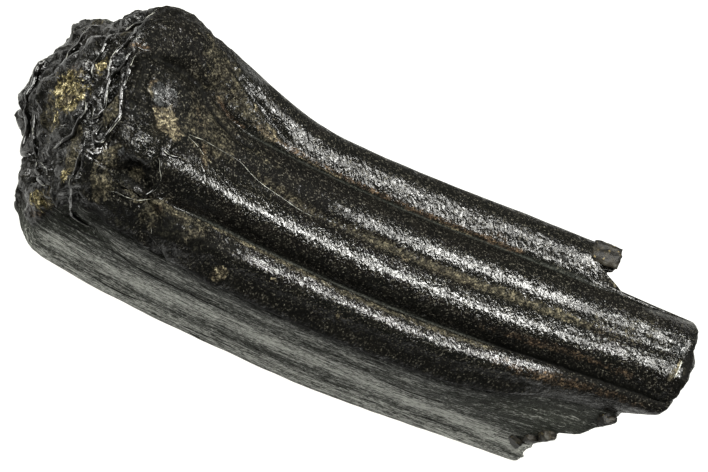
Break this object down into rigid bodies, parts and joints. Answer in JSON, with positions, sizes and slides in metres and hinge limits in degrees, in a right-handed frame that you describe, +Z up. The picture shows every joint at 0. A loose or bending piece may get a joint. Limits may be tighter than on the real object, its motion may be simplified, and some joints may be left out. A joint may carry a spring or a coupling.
{
  "type": "fossil horse tooth",
  "caption": "Tall, gently bent upper cheek tooth of a horse with rounded ribs, a swollen worn crown and a broken root end, lying on its cheek side.",
  "frame": {"origin": "middle of the tooth's underside, on the surface it lies on", "axes": "+X along the tooth from the chewing end to the root end, +Y towards the back of the mouth, +Z up, from the cheek side to the tongue side"},
  "size_m": [0.0824, 0.03, 0.0303],
  "materials": {
    "black_enamel": "glossy black mineralised enamel with brown and ochre staining"
  },
  "bodies": {
    "root": {"horse_tooth": "black_enamel"}
  },
  "joints": []
}
